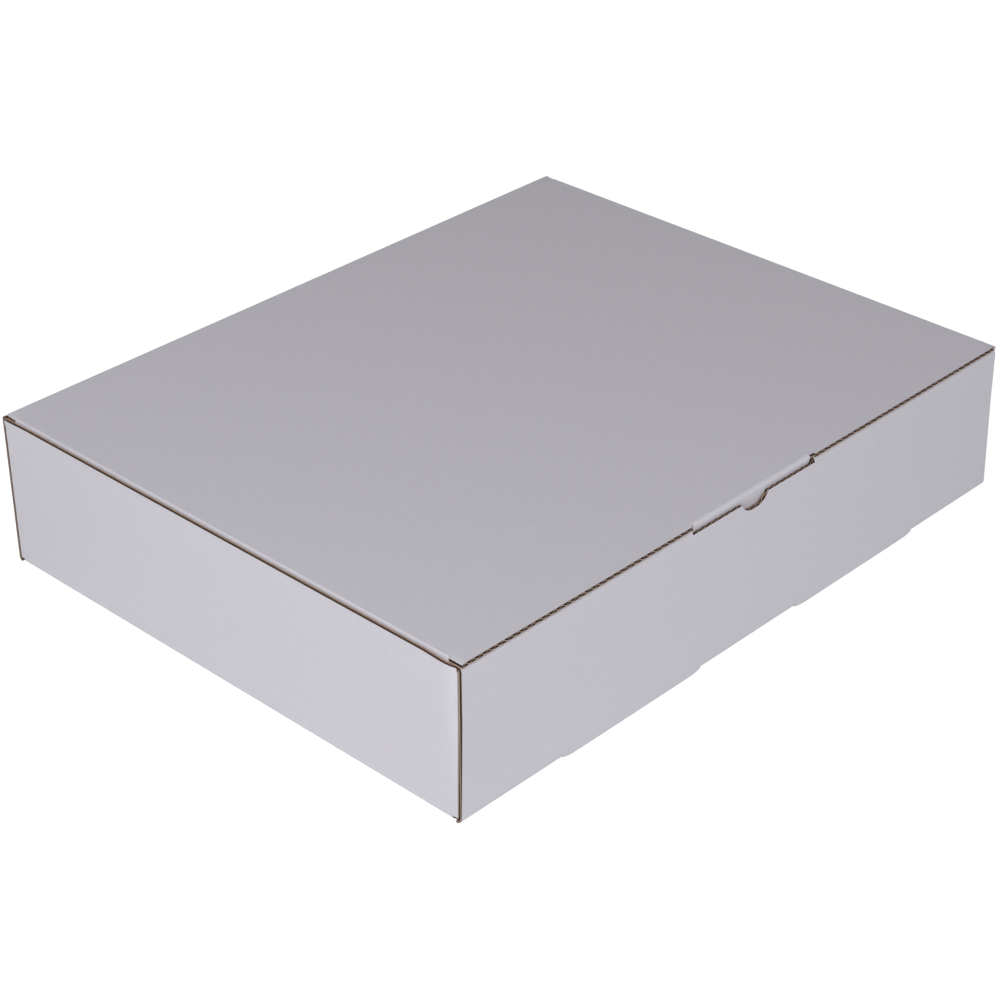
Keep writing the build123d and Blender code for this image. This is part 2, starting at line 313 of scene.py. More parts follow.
tray = {
    "rollStart": 60.3,
    "endHeights": [2.6, 26.0, 40.0, 60.3],
    "endHalves": [149.8, 149.1, 148.7, 148.6],   # the outer front panel draws in towards its top
    "rollShare": 0.6,           # part of the roll's first turn where they draw in further
    "rollHalves": [148.3, 147.3],
    "rearHalf": 149.5,
    "innerHalf": 146.4,         # the inner front panel passes between the lid's side flaps
    "floorHalf": 148.0,
    "innerFace": -114.2,        # white face of the inner front panel
    "layerFloor": 2.0,
    "slotFrom": 27.3,           # lock slots in the bottom, on both sides
    "slotTo": 100.3,
    "slotRear": -113.8,
    "lockFrom": 28.0,
    "lockTo": 99.6,
    "lockFoot": 0.2,
    "lockChamfer": 1.25,
    "recessHalf": 34.2,
    "innerLip": 61.0,
    "notchHalf": 7.2,
    "notchDepth": 4.1,
    "notchBend": (2.6, 0.75),   # powers that give the notch its round bottom and steep sides
    "notchColumns": 36,
    "notchRowsFrom": 54.0,      # rows of the outer panel above this follow the notch
    "notchRow": 3.0,            # a row this far above there
    "footRise": 1.0,            # in front of a lock slot the outer panel's foot curves up at both ends
    "footRiseLength": 6.0,
    "footColumns": (1.0, 2.2, 3.8),   # columns in from the slot's ends, for that curve
    "sideFoldEnd": 116.0,       # the folds beside the bottom end here, front and rear
    "wallEnd": 118.0,           # the side walls end here
    "dipFrom": 104.0,           # and their top edge dips from here
    "frontDip": 0.9,
    "rearDip": 0.4,
    "leanFrom": 109.0,
    "lean": 1.1,                # their front ends lean in by this at the top
    "leanHeight": 48.0,         # and above this height evenly
    "rearReach": 0.3,           # their rear ends reach out to the rear wall
    "rearReachHeight": 5.0,     # and above this height evenly
    "flapLength": 58.0,
    "flapTaper": 4.0,
    "flapCorner": 5.0,
    "flapCornerMargin": 0.5,
    "flapCornerStep": 0.4,
    "flapRows": (0.02, 0.3, 0.6, 1.0),
    "rearSplit": 58.0,          # above this height the rear fold's own strip takes over
    "rearEdgeColumns": 4,
}


# Height of the outer panel's edge over the recess: level, less the thumb notch's depth times one
# less the offset's share to one power, to another power.
def recessEdge(x):
    bend, steep = tray["notchBend"]
    share = np.clip(np.abs(x) / tray["notchHalf"], 0, 1)
    return tray["rollStart"] - tray["notchDepth"] * (1 - share ** bend) ** steep


# How far the outer panel's foot rises at x in front of a lock slot: a parabola at each end.
def footRise(x):
    away = np.minimum(np.abs(x) - tray["slotFrom"], tray["slotTo"] - np.abs(x))
    return tray["footRise"] * (1 - np.clip(away / tray["footRiseLength"], 0, 1)) ** 2


# Rear wall, bottom, double front wall with its recess, notch, lock slots and lock tabs.
def trayStrip(depths, columnStep, rowStep, arcSteps):
    radius, baseRadius = foldRadius, carton["baseFoldRadius"]
    baseLength = quarter * baseRadius
    rollStart = tray["rollStart"]
    bottomAt = -(rearFace - radius)
    rearFoldAt = bottomAt - foldLength
    rearTop = rearFoldAt - (tray["rearSplit"] - radius)
    baseAt = -(frontFace + baseRadius)
    panelAt = baseAt + baseLength
    rollAt = panelAt + rollStart - baseRadius
    topAt = rollAt + foldLength
    innerRollAt = topAt + (tray["innerFace"] - frontFace - 2 * radius)
    innerAt = innerRollAt + foldLength
    floorAt = innerAt + rollStart - tray["layerFloor"]
    footAt = floorAt + tray["layerFloor"] - tray["lockFoot"]
    lipAt = innerAt - radius * math.asin((tray["innerLip"] - rollStart) / radius)
    path = foldedPath(
        (rearFace, tray["rearSplit"]), -90, rearTop,
        [
            (tray["rearSplit"] - radius, None), (foldLength, radius),
            (baseAt - bottomAt, None), (baseLength, baseRadius),
            (rollStart - baseRadius, None), (foldLength, radius),
            (innerRollAt - topAt, None), (foldLength, radius),
            (footAt - innerAt, None),
        ],
    )

    # Columns: the cut lines, with close ones where the notch curves
    marks = [tray[k] for k in ("slotFrom", "slotTo", "lockFrom", "lockTo", "recessHalf", "innerHalf")]
    marks += [tray["lockFrom"] + tray["lockChamfer"], tray["lockTo"] - tray["lockChamfer"]]
    for step in tray["footColumns"]:
        marks += [tray["slotFrom"] + step, tray["slotTo"] - step]
    marks += list(tray["notchHalf"] * np.sin(np.linspace(0, quarter, tray["notchColumns"])))
    marks += [tray["floorHalf"] - margin, tray["floorHalf"], halfWidth]
    xs = stations([-m for m in marks] + marks, columnStep)

    # Rows: folds in even steps, and a margin row beside each
    arc = foldLength / arcSteps
    endRow, tieRow = tray["sideFoldEnd"], tray["wallEnd"] - creaseRadius - gatherLength
    dipRow, leanRow = tray["dipFrom"], tray["leanFrom"]
    leanRows = [leanRow, (leanRow + tieRow) / 2, -tray["slotRear"]]
    wallRows = stations([-endRow, -tieRow, -dipRow, dipRow] + leanRows + [tieRow, endRow], rowStep)
    notchFrom = panelAt + tray["notchRowsFrom"] - baseRadius
    endRows = [panelAt + height - baseRadius for height in tray["endHeights"]]
    s = joined(
        stations([rearTop, rearFoldAt - margin, rearFoldAt], rowStep),
        stations([rearFoldAt, bottomAt], arc),
        stations([bottomAt, bottomAt + margin, -endRow], rowStep),
        wallRows,
        stations([endRow, baseAt - margin, baseAt], rowStep),
        stations([baseAt, panelAt], arc),
        stations([panelAt, panelAt + margin] + endRows[1:-1] + [notchFrom], rowStep),
        stations([notchFrom, notchFrom + tray["notchRow"], rollAt - margin, rollAt], rowStep),
        stations([rollAt, topAt], arc),
        stations([topAt, innerRollAt], rowStep),
        stations([innerRollAt, lipAt, innerAt], arc),
        stations([innerAt, innerAt + margin, floorAt, footAt], rowStep),
    )

    middleX = np.abs((xs[1:] + xs[:-1]) / 2)[:, None]
    middleS = ((s[1:] + s[:-1]) / 2)[None, :]
    inSlot = (middleX > tray["slotFrom"]) & (middleX < tray["slotTo"])
    inLock = (middleX > tray["lockFrom"]) & (middleX < tray["lockTo"])
    isBottom = (middleS > bottomAt) & (middleS < baseAt)
    keep = ~(isBottom & (middleX > tray["floorHalf"]))
    keep &= ~(isBottom & (middleS > -tray["slotRear"]) & inSlot)
    keep &= ~((middleS > baseAt) & (middleS < panelAt) & inSlot)
    keep &= ~((middleS > innerRollAt) & (middleX > tray["innerHalf"]))
    keep &= ~((middleS > rollAt) & (middleS < lipAt) & (middleX < tray["recessHalf"]))
    keep &= ~((middleS > floorAt) & ~inLock)

    # The notch pulls the rows under it down, and the lock tabs' chamfers pull their foot up
    grid = np.broadcast_to(s[None, :], (len(xs), len(s))).copy()
    rowsFrom = tray["notchRowsFrom"]
    share = (recessEdge(xs) - rowsFrom) / (rollStart - rowsFrom)
    rows = (s >= notchFrom - tiny) & (s <= rollAt + tiny)
    grid[:, rows] = notchFrom + (s[rows] - notchFrom)[None, :] * share[:, None]
    lockMiddle = (tray["lockFrom"] + tray["lockTo"]) / 2
    lockHalf = (tray["lockTo"] - tray["lockFrom"]) / 2
    lockChamfer = tray["lockChamfer"]
    raised = np.clip(np.abs(np.abs(xs) - lockMiddle) - (lockHalf - lockChamfer), 0, lockChamfer)
    feet = s > floorAt + tiny
    grid[:, feet] -= raised[:, None] * ((s[feet] - floorAt) / (footAt - floorAt))[None, :]
    half = np.interp(
        s, [rearFoldAt, bottomAt, baseAt] + endRows + [rollAt + tray["rollShare"] * foldLength, topAt],
        [tray["rearHalf"], halfWidth, halfWidth] + tray["endHalves"] + tray["rollHalves"]
    )
    patches = [lengthwisePatch(path, drawnIn(xs, half), grid, depths, keep)]

    # In front of the lock slots the outer panel runs straight down past the fold
    straight = foldedPath((frontFace, 0.0), 90, panelAt - baseRadius, [(baseRadius, None)])
    for side in (-1, 1):
        here = xs[(side * xs >= tray["slotFrom"] - tiny) & (side * xs <= tray["slotTo"] + tiny)]
        foot = (panelAt - baseRadius + footRise(here))[:, None]
        footRows = foot + (panelAt - foot) * np.array([[0.0, 1.0]])
        patches.append(lengthwisePatch(straight, here, footRows, depths))
    return patches, wallRows


# Side walls with their folds, creases and corner flaps. The blank is measured from the centre line.
def sideWalls(depths, columnStep, arcSteps, wallRows):
    radius, floorHalf = foldRadius, tray["floorHalf"]
    wallAt = floorHalf + foldLength
    wallTopAt = wallAt + carton["wallTop"] - radius
    flapTopAt = wallAt + tray["rollStart"] - radius
    wallRuns = [(foldLength, radius), (wallTopAt - wallAt, None)]
    wallPath = foldedPath((floorHalf, 0.0), 0, floorHalf, wallRuns, -1)
    arc = foldLength / arcSteps
    closeStep = min(columnStep, tray["flapCornerStep"])
    cornerZone = 2 * tray["flapCorner"] + tray["flapCornerMargin"]
    u = joined(
        stations([floorHalf, wallAt], min(arc, columnStep)),
        stations([wallAt, wallAt + cornerZone], closeStep),
        stations([wallAt + cornerZone, flapTopAt - cornerZone], columnStep),
        stations([flapTopAt - cornerZone, flapTopAt], closeStep),
        stations([flapTopAt, wallTopAt], columnStep),
    )
    tieRow = tray["wallEnd"] - creaseRadius - gatherLength
    middleU = ((u[1:] + u[:-1]) / 2)[:, None]
    wallY = -wallRows[::-1]
    middleY = np.abs((wallY[1:] + wallY[:-1]) / 2)[None, :]
    keep = (middleU < wallAt) | (middleY < tieRow)

    # Over the corner flap the wall runs straight on to its end
    topU = u[u >= flapTopAt - tiny]
    creaseAt = tieRow + gatherLength
    endRows = stations([tieRow, creaseAt - margin, creaseAt], carton["bendStep"])
    topY = np.append(endRows, tray["wallEnd"])

    flapU = u[(u >= wallAt - tiny) & (u <= flapTopAt + tiny)]
    flapZ = flapU - wallAt + radius
    rootHalf = (flapTopAt - wallAt) / 2
    footHalf = rootHalf - tray["flapTaper"]
    reach = flapReach(flapU - wallAt - rootHalf, rootHalf, footHalf, tray["flapLength"], tray["flapCorner"])
    rootAt = creaseAt + creaseLength + board["thickness"] - creaseRadius
    cornerPath = foldedPath(
        (halfWidth, tieRow), 90, tieRow,
        [(gatherLength, None), (creaseLength, creaseRadius), (tray["flapLength"] + gatherLength, None)], -1
    )
    foldRows = np.concatenate([
        endRows,
        stations([creaseAt, creaseAt + creaseLength], creaseLength / arcSteps)[1:],
        [rootAt],
    ])
    flapRows = np.concatenate([
        np.broadcast_to(foldRows, (len(flapU), len(foldRows))),
        rootAt + reach[:, None] * np.array(tray["flapRows"])[None, :],
    ], 1)
    patches = []
    for side in (-1, 1):
        patches.append(crosswisePatch(wallPath, u, wallY, depths, side, -1, keep))
        for end in (-1, 1):
            patches.append(crosswisePatch(wallPath, topU, end * topY, depths, side, -1))
            patches.append(uprightPatch(cornerPath, flapU, flapZ, flapRows, depths, (side, end)))

    # The front ends lean in, by the cube of the way along and evenly with height, the rear ends
    # reach out to the rear wall, and the raw top edge dips evenly towards both ends
    for p in patches:
        y, z = p["outer"][:, 1].copy(), p["outer"][:, 2].copy()
        leanShare = np.clip((-y - tray["leanFrom"]) / (creaseAt - tray["leanFrom"]), 0, 1) ** 3
        lean = tray["lean"] * leanShare * np.clip(z / tray["leanHeight"], 0, 1)
        reachShare = np.clip((y - tieRow) / gatherLength, 0, 1) * np.clip(z / tray["rearReachHeight"], 0, 1)
        dipShare = np.clip((np.abs(y) - tray["dipFrom"]) / (tray["wallEnd"] - tray["dipFrom"]), 0, 1)
        dip = np.where(y < 0, tray["frontDip"], tray["rearDip"]) * dipShare
        dip = dip * np.clip((z - tray["rollStart"]) / (carton["wallTop"] - tray["rollStart"]), 0, 1)
        for face in ("outer", "inner"):
            p[face][:, 0] -= np.sign(p[face][:, 0]) * lean
            p[face][:, 1] += tray["rearReach"] * reachShare
            p[face][:, 2] -= dip
    return patches


lid = {
    "stripHalf": 148.3,         # half width of the strips in front of and behind the side flaps
    "droopFrom": 145.9,         # outside this the strips droop
    "frontDroop": 0.35,
    "rearDroops": [0.7, 0.4],   # beside the side flap, and at the rear fold
    "droopColumns": (0.9, 1.7), # columns out from where the side flap's crease begins to gather
    "droopEnd": 0.01,           # beside a side flap the droop ends within this
    "sideFace": 148.2,          # outer face of the side flaps
    "sideFrom": -113.9,         # the side flaps' crease runs from here
    "sideTo": 113.8,            # to here
    "sideFoot": 12.0,
    "sideSlant": 7.0,
    "sideCorner": 6.0,
    "sideCornerMargin": 1.0,
    "sideCornerColumns": 20,
    "slitHalf": 34.2,
    "slitEnd": -119.1,
    "tabHalf": 32.8,
    "tabShift": -0.7,           # the tab sits a little to the left in its opening
    "tabFrom": -116.3,          # it turns down in front of this line
    "tabFace": -117.95,
    "tabFoot": 51.0,
    "tabTaper": 1.5,
    "tabCorner": 5.0,
    "tabColumnsFrom": 26.0,     # close columns from here to the tab's side, for its round corner
    "tabColumns": 24,
    "tabRows": (1.0, 0.7, 0.35, 0.04),
    "crestY": -117.95,          # centre of the rounded crest where the tab turns down
    "crestRadius": 1.3,
    "crestFiner": 1.25,         # steps round the crest are finer by this
    "lean": 15.0,               # degrees past upright, until the tab bends back
    "bendRadius": 3.0,
    "rearSplit": 114.0,         # behind this line the rear fold's own strip takes over
}


# The strips beside the side flaps droop towards their raw ends, by the square of the way out.
def drooped(p):
    x, y = np.abs(p["outer"][:, 0]), p["outer"][:, 1]
    out = np.clip((x - lid["droopFrom"]) / (lid["stripHalf"] - lid["droopFrom"]), 0, 1) ** 2
    sideFrom, sideTo, end = lid["sideFrom"], lid["sideTo"], lid["droopEnd"]
    depth = np.interp(
        y, [sideFrom, sideFrom + end, sideTo - end, sideTo, rearFace - foldRadius, rearFace],
        [lid["frontDroop"], 0, 0] + lid["rearDroops"] + [0]
    )
    for face in ("outer", "inner"):
        p[face][:, 2] -= depth * out
    return p


# Top panel with its strips, the tuck tab and the side flaps.
def lidPatches(depths, columnStep, rowStep, arcSteps):
    height, thickness = carton["height"], board["thickness"]
    creaseX = lid["sideFace"] - creaseRadius
    tieX = creaseX - gatherLength
    marks = [0.0, lid["slitHalf"], tieX, creaseX, lid["stripHalf"]]
    marks += list(np.linspace(lid["tabColumnsFrom"], lid["tabHalf"], lid["tabColumns"]))
    marks += [tieX + step for step in lid["droopColumns"]]
    xs = stations([-m for m in marks] + marks, columnStep)
    sideRows = stations([lid["sideFrom"], lid["sideTo"]], rowStep)
    y = np.concatenate([[frontFace, lid["slitEnd"], lid["tabFrom"]], sideRows, [lid["rearSplit"]]])
    middleX = np.abs((xs[1:] + xs[:-1]) / 2)[:, None]
    middleY = ((y[1:] + y[:-1]) / 2)[None, :]
    keep = ~((middleY > lid["sideFrom"]) & (middleY < lid["sideTo"]) & (middleX > tieX))
    keep &= ~((middleY < lid["slitEnd"]) & (middleX < lid["slitHalf"]))
    keep &= ~((middleY < lid["tabFrom"]) & (middleX < lid["tabHalf"]))
    flatPath = foldedPath((frontFace, height), 0, frontFace, [(rearFace - frontFace, None)])
    patches = [drooped(lengthwisePatch(flatPath, xs, y, depths, keep))]

    # Tuck tab from its foot: up, bent forward, leaning out to the crest, and back level into the lid
    lean = math.radians(lid["lean"])
    crestRadius, bendRadius = lid["crestRadius"], lid["bendRadius"]
    leanFromY = lid["tabFace"] - bendRadius * (1 - math.cos(lean))
    leanToY = lid["crestY"] - crestRadius * math.cos(lean)
    leanRun = (leanFromY - leanToY) / math.sin(lean)
    bendZ = height - crestRadius - (crestRadius + bendRadius) * math.sin(lean) - leanRun * math.cos(lean)
    hang, bendRun, crestRun = bendZ - lid["tabFoot"], bendRadius * lean, crestRadius * (quarter + lean)
    leanAt = hang + bendRun
    crestAt = leanAt + leanRun
    levelAt = crestAt + crestRun
    tabPath = foldedPath(
        (lid["tabFace"], lid["tabFoot"]), 90, 0.0,
        [
            (hang, None), (bendRun, -bendRadius), (leanRun, None), (crestRun, crestRadius),
            (lid["tabFrom"] - lid["crestY"], None),
        ],
    )
    tabXs = xs[np.abs(xs) <= lid["tabHalf"] + tiny]
    reach = flapReach(tabXs, lid["tabHalf"], lid["tabHalf"] - lid["tabTaper"], hang, lid["tabCorner"])
    fixed = joined(
        stations([hang, leanAt], bendRun / arcSteps),
        stations([leanAt, leanAt + margin, crestAt - margin, crestAt], leanRun),
        stations([crestAt, levelAt], crestRun / arcSteps / lid["crestFiner"]),
        stations([levelAt, levelAt + margin, levelAt + lid["tabFrom"] - lid["crestY"]], rowStep),
    )
    rows = np.concatenate([
        hang - reach[:, None] * np.array(lid["tabRows"])[None, :],
        np.broadcast_to(fixed, (len(tabXs), len(fixed))),
    ], 1)
    patches.append(lengthwisePatch(tabPath, tabXs, rows, depths))

    # The tab and all between the slits sit a little to one side, fading out across each slit
    for p in patches:
        away = np.abs(p["outer"][:, 0])
        share = np.clip((lid["slitHalf"] - away) / (lid["slitHalf"] - lid["tabHalf"]), 0, 1)
        for face in ("outer", "inner"):
            p[face][:, 0] += lid["tabShift"] * share

    # Side flaps, from the line where the board begins to gather into their crease
    flapAt = creaseX + creaseLength
    rootAt = flapAt + thickness - creaseRadius
    flapLength = height - thickness - lid["sideFoot"]
    flapEnd = rootAt + flapLength
    sideRuns = [(gatherLength, None), (creaseLength, creaseRadius), (flapEnd - flapAt, None)]
    sidePath = foldedPath((tieX, height), 0, tieX, sideRuns)
    cornerZone = lid["sideCorner"] + lid["sideCornerMargin"]
    u = joined(
        stations([tieX, creaseX], columnStep),
        [creaseX - margin, flapAt + margin],
        stations([creaseX, flapAt], min(creaseLength / arcSteps, columnStep)),
        stations([flapAt, rootAt, rootAt + gatherLength, flapEnd - cornerZone], columnStep),
        flapEnd - cornerZone + cornerZone * np.sin(np.linspace(0, quarter, lid["sideCornerColumns"])),
    )
    inward = slantedEnd(np.clip(u - rootAt, 0, None), flapLength, lid["sideSlant"], lid["sideCorner"])
    flapHalf = (lid["sideTo"] - lid["sideFrom"]) / 2
    flapMiddle = (lid["sideTo"] + lid["sideFrom"]) / 2
    flapRows = flapMiddle + (sideRows - flapMiddle)[None, :] * (1 - inward / flapHalf)[:, None]
    for side in (-1, 1):
        patches.append(crosswisePatch(sidePath, u, flapRows, depths, side))
    return patches


# Fold between the rear wall and the lid: the lid's rear strip is narrower than the rear wall and widens
# round the first half of the fold.
def rearFoldPatches(depths, columnStep, arcSteps):
    arc = foldLength / arcSteps
    edges = list(np.linspace(carton["edgeZone"], halfWidth, tray["rearEdgeColumns"]))
    xs = stations([-edge for edge in edges] + edges, columnStep)
    foldAt = rearFace - foldRadius
    wallAt = foldAt + foldLength
    down = carton["height"] - foldRadius - tray["rearSplit"]
    path = foldedPath(
        (lid["rearSplit"], carton["height"]), 0, lid["rearSplit"],
        [(foldAt - lid["rearSplit"], None), (foldLength, foldRadius), (down, None)]
    )
    s = joined(
        stations([lid["rearSplit"], foldAt], carton["bendStep"]),
        stations([foldAt, wallAt], arc),
        stations([wallAt, wallAt + down], carton["bendStep"]),
    )
    half = np.interp(s, [foldAt, foldAt + foldLength / 2], [lid["stripHalf"], tray["rearHalf"]])
    return [drooped(lengthwisePatch(path, drawnIn(xs, half), s, depths))]


# sRGB hex to the linear colour that the shader takes.
def paint(hexColour):
    parts = [int(hexColour[k:k + 2], 16) / 255 for k in (1, 3, 5)]
    return tuple(c / 12.92 if c <= 0.04045 else ((c + 0.055) / 1.055) ** 2.4 for c in parts) + (1.0,)


# Adds a node with its settings and links; a number picks an input that shares its name with others.
def addNode(tree, kind, settings=None, links=None):
    node = tree.nodes.new(kind)
    for name, value in (settings or {}).items():
        if isinstance(name, str) and hasattr(node, name) and name not in node.inputs:
            setattr(node, name, value)
        else:
            node.inputs[name].default_value = value
    for name, source in (links or {}).items():
        tree.links.new(source, node.inputs[name])
    return node


def newMaterial(name):
    material = bpy.data.materials.new(name)
    material.use_nodes = True
    tree = material.node_tree
    tree.nodes.clear()
    return material, tree


# Bleached top ply of a white-top testliner: matt, faintly cloudy, with fine fibres that catch light
whiteTop = {
    "colour": "#D2CFD7",
    "cloudColour": "#D0CDD5",
    "cloudSize": 3.0,           # millimetres
    "cloudRange": (0.35, 0.65), # the clouds fade from one colour to the other within this
    "cloudDetail": (3.0, 0.6),
    "fibreSize": 0.5,
    "fibreDetail": 2.0,
    "fibreHeight": 0.06,
    "bump": 0.12,
    "roughness": 0.62,
    "specular": 0.35,
}
# What all the brown papers share: soft, matt, with fibres that stand a tenth of a millimetre high
brownGrain = {
    "fibreRange": (0.3, 0.7),
    "fibreDetail": 3.0,
    "fibreHeight": 0.1,
    "bump": 0.3,
    "specular": 0.25,
}
# Unbleached brown testliner on the inside of the box
kraftPaper = {
    "colour": "#A98E77",
    "fibreColour": "#9C816A",
    "fibreSize": 0.7,
    "roughness": 0.8,
}
# Die-cut edge of the white-faced liner: crushed over by the knife, so dark
cutWhiteTop = {
    "colour": "#7E675A",
    "fibreColour": "#6C5649",
    "fibreSize": 0.35,
    "roughness": 0.9,
}
# Die-cut edge of the inner liner: torn pale fibres
cutKraft = {
    "colour": "#B79F92",
    "fibreColour": "#9C8376",
    "fibreSize": 0.35,
    "roughness": 0.9,
}
# Die-cut edge of the medium, a little paler than the liner's because its fibres stand up
cutMedium = {
    "colour": "#BDA697",
    "fibreColour": "#A38B7C",
    "fibreSize": 0.35,
    "roughness": 0.9,
}
# Glued recycled paper inside the lid's flutes, painted very dark as the shade there, where hardly any light
# gets in
lidFluteShade = {
    "colour": "#2A1E19",
    "fibreColour": "#211713",
    "fibreSize": 0.5,
    "roughness": 0.9,
}
# The same paper where the tray's edges are pressed flatter and light gets further in: painted darker than
# the paper is, as shade, but less than in the lid
trayFluteShade = {
    "colour": "#604B3F",
    "fibreColour": "#513E33",
    "fibreSize": 0.5,
    "roughness": 0.9,
}


# Noise in the object's own space, with grains of a size in millimetres.
def grainNoise(tree, place, size, detail, roughness=0.5):
    return addNode(
        tree, "ShaderNodeTexNoise", {"Scale": 1000 / size, "Detail": detail, "Roughness": roughness},
        {"Vector": place}
    ).outputs["Fac"]


# Fades from one colour to another as the noise goes through a range.
def twoTone(tree, noise, limits, colours):
    share = addNode(
        tree, "ShaderNodeMapRange", {"From Min": limits[0], "From Max": limits[1]}, {"Value": noise}
    )
    return addNode(
        tree, "ShaderNodeMix", {"data_type": "RGBA", 6: paint(colours[0]), 7: paint(colours[1])},
        {"Factor": share.outputs["Result"]}
    ).outputs[2]


# Matt paper with its fibres as bump, for both kinds of paper.
def finishPaper(tree, tone, fibres, grain, roughness):
    bump = addNode(
        tree, "ShaderNodeBump", {"Strength": grain["bump"], "Distance": grain["fibreHeight"] / 1000},
        {"Height": fibres}
    )
    shader = addNode(
        tree, "ShaderNodeBsdfPrincipled", {"Roughness": roughness, "Specular IOR Level": grain["specular"]},
        {"Base Color": tone, "Normal": bump.outputs["Normal"]}
    )
    addNode(tree, "ShaderNodeOutputMaterial", None, {"Surface": shader.outputs["BSDF"]})


def whiteTopMaterial(name, look):
    material, tree = newMaterial(name)
    place = addNode(tree, "ShaderNodeTexCoord").outputs["Object"]
    clouds = grainNoise(tree, place, look["cloudSize"], *look["cloudDetail"])
    tone = twoTone(tree, clouds, look["cloudRange"], (look["colour"], look["cloudColour"]))
    fibres = grainNoise(tree, place, look["fibreSize"], look["fibreDetail"])
    finishPaper(tree, tone, fibres, look, look["roughness"])
    return material


def brownPaperMaterial(name, look):
    material, tree = newMaterial(name)
    place = addNode(tree, "ShaderNodeTexCoord").outputs["Object"]
    fibres = grainNoise(tree, place, look["fibreSize"], brownGrain["fibreDetail"])
    tone = twoTone(tree, fibres, brownGrain["fibreRange"], (look["colour"], look["fibreColour"]))
    finishPaper(tree, tone, fibres, brownGrain, look["roughness"])
    return material


whitePly = whiteTopMaterial("white-top testliner", whiteTop)
kraftPly = brownPaperMaterial("brown testliner", kraftPaper)
cutWhiteLiner = brownPaperMaterial("die-cut white-top edge", cutWhiteTop)
cutLiner = brownPaperMaterial("die-cut liner edge", cutKraft)
cutFluting = brownPaperMaterial("die-cut fluting edge", cutMedium)
# painted shade: the lid's flute paper is darkened for the shade deep in the flutes
lidFluteShadeInside = brownPaperMaterial("recycled fluting, painted dark as shade in the lid's flutes", lidFluteShade)
# painted shade: the tray's flute paper is darkened, less than the lid's, for the shade in its flutes
trayFluteShadeInside = brownPaperMaterial("pressed recycled fluting", trayFluteShade)
print("stage: materials")


# Depth below the outer face: a liner's two sides are constant, and the medium is a cosine wave
# across the flutes, half its own thickness to each side.
def flatDepth(depth):
    return lambda across: np.full(across.shape, depth)


def waveDepth(offset):
    middle = board["thickness"] / 2
    swing = middle - board["liner"] - board["medium"] / 2 + board["crestOverlap"]
    return lambda across: middle + offset + swing * np.cos(
        2 * math.pi * (across - board["fluteAt"]) / board["flutePitch"]
    )


# Each layer of the board: depths of its two sides, and materials of its outer side, inner side and rim,
# where None stands for the paper inside the flutes, whose colour is painted shade
thickness, liner, halfMedium = board["thickness"], board["liner"], board["medium"] / 2
layers = {
    "white_liner": ((flatDepth(0.0), flatDepth(liner)), [whitePly, None, cutWhiteLiner]),
    "fluting": ((waveDepth(-halfMedium), waveDepth(halfMedium)), [None, None, cutFluting]),
    "kraft_liner": ((flatDepth(thickness - liner), flatDepth(thickness)), [None, kraftPly, cutLiner]),
}
for layer, (depths, sides) in layers.items():
    # The flutes' paper takes painted shade: darker in the lid, lighter in the tray and rear fold
    lidSides = [side or lidFluteShadeInside for side in sides]
    traySides = [side or trayFluteShadeInside for side in sides]
    waved = layer == "fluting"
    columnStep = board["flutePitch"] / carton["fluteColumns"] if waved else carton["linerColumnStep"]
    arcSteps = carton["flutingArcSteps"] if waved else carton["arcSteps"]
    rowStep = carton["flutingRowStep"] if waved else carton["linerRowStep"]
    strip, wallRows = trayStrip(depths, columnStep, rowStep, arcSteps)
    walls = sideWalls(depths, columnStep, arcSteps, wallRows)
    trayPiece = sheetMesh("tray_" + layer, strip + walls, traySides)
    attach(trayPiece, "tray")
    lidPiece = sheetMesh("lid_" + layer, lidPatches(depths, columnStep, rowStep, arcSteps), lidSides)
    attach(lidPiece, "lid")
    foldPiece = sheetMesh("rear_fold_" + layer, rearFoldPatches(depths, columnStep, arcSteps), traySides)
    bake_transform(foldPiece)
    if layer == "white_liner":
        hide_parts("tray")
        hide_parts("lid")
    made = [len(p.data.loops) - 2 * len(p.data.polygons) for p in (trayPiece, lidPiece, foldPiece)]
    print("stage:", layer, "of tray, lid and rear fold,", made, "triangles")

studio = {
    "ambient": 0.235,
    "floorColour": "#E9E9EA",
    "floorShow": 0.65,          # share of plain light in what the camera sees of the floor
    "floorGlow": 1.4,           # its strength, so that floor in full light comes out white
    "floorReach": 6.0,
    "floorDrop": 0.0002,
}
# Softboxes: place, the point each looks at, size and power in watts
softboxes = {
    "left softbox": ((-1.481, -0.261, 0.547), (0, 0, 0.03), 0.9, 6.4),
    "front softbox": ((-0.389, -1.452, 0.547), (0, 0, 0.03), 0.9, 8.1),
    "top softbox": ((-0.595, -0.205, 0.777), (0, 0, 0.03), 0.6, 2.75),
}


# 1 for rays from the camera and for mirror and clear paths, which all see the plain background.
def seenDirectly(tree):
    rays = addNode(tree, "ShaderNodeLightPath")
    some = addNode(
        tree, "ShaderNodeMath", {"operation": "MAXIMUM"},
        {0: rays.outputs["Is Camera Ray"], 1: rays.outputs["Is Glossy Ray"]}
    )
    return addNode(
        tree, "ShaderNodeMath", {"operation": "MAXIMUM"},
        {0: some.outputs[0], 1: rays.outputs["Is Transmission Ray"]}
    ).outputs[0]


# Share of the second shader mixed into the first.
def mixed(tree, share, first, second):
    return addNode(tree, "ShaderNodeMixShader", None, {0: share, 1: first.outputs[0], 2: second.outputs[0]})


